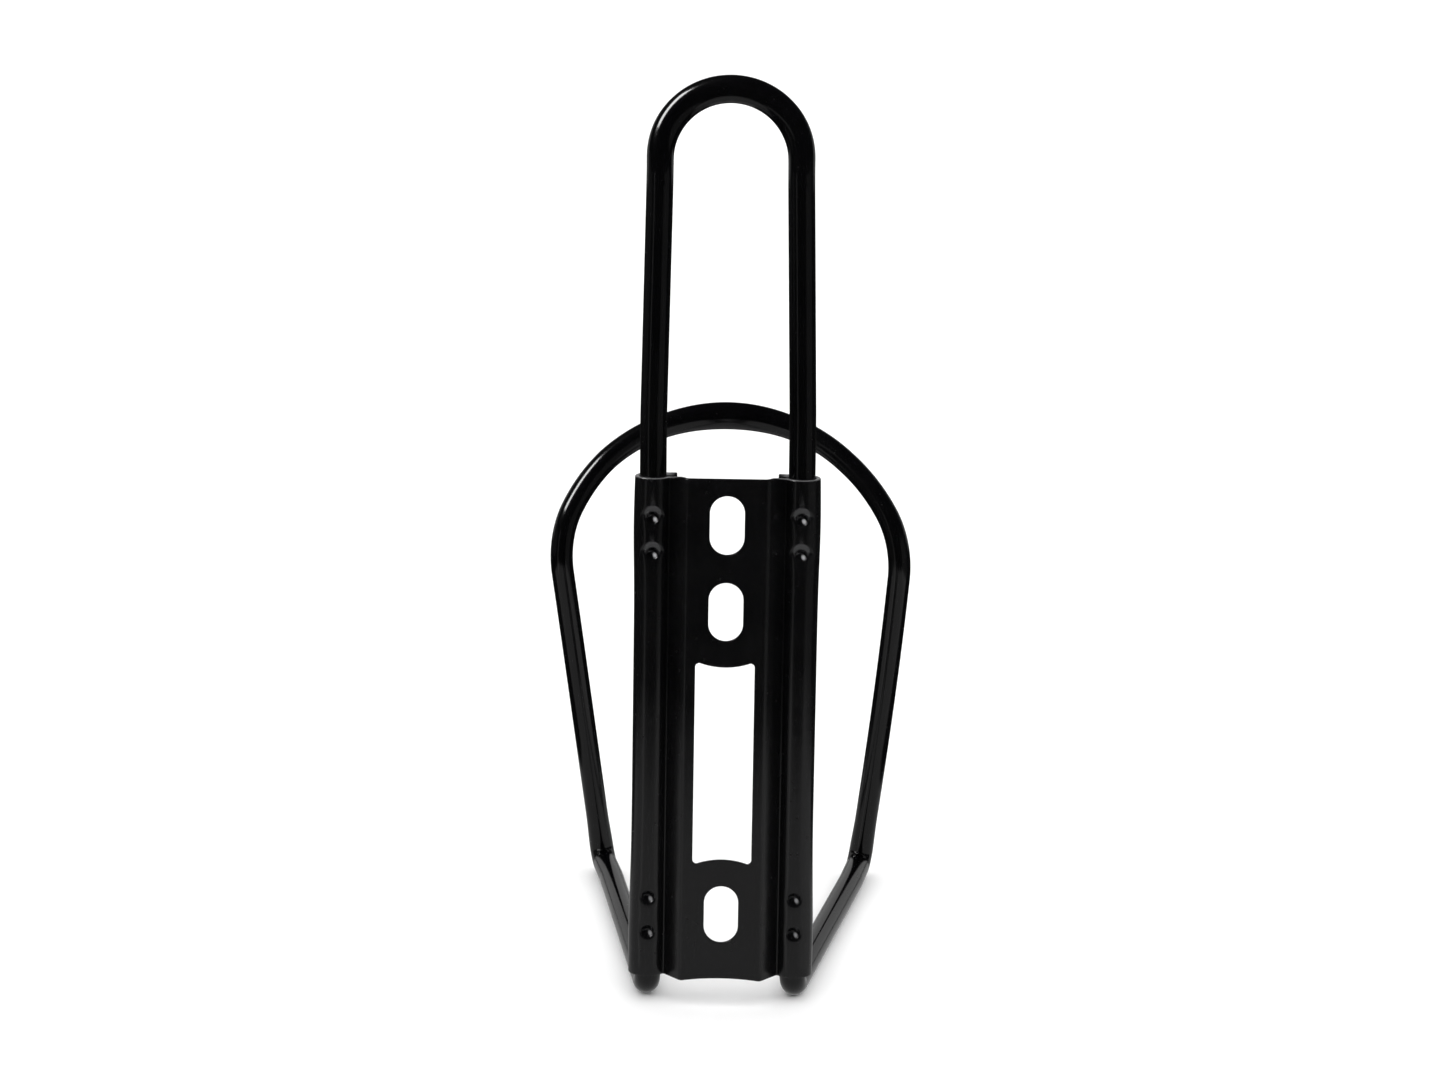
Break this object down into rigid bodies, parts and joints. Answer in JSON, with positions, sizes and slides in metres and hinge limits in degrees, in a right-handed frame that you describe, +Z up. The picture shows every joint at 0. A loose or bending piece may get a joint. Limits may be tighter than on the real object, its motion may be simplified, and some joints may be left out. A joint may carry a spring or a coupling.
{
  "type": "water bottle cage",
  "caption": "Bolt-on bicycle bottle cage: a rolled sheet back plate with slotted bolt holes grips a tall upper hoop and a front hoop that carries and embraces the bottle.",
  "frame": {"origin": "middle of the 64 mm bolt pattern, on the rear face of the back plate that lies on the bike frame", "axes": "+X across the cage, +Y from the bike frame towards the bottle, +Z up the bottle"},
  "size_m": [0.0638, 0.0838, 0.1495],
  "materials": {
    "painted_sheet": "gloss black paint on aluminium sheet",
    "painted_rod": "gloss black paint on aluminium rod"
  },
  "bodies": {
    "root": {"back_plate": "painted_sheet", "upper_hoop": "painted_rod", "front_hoop": "painted_rod"}
  },
  "joints": []
}
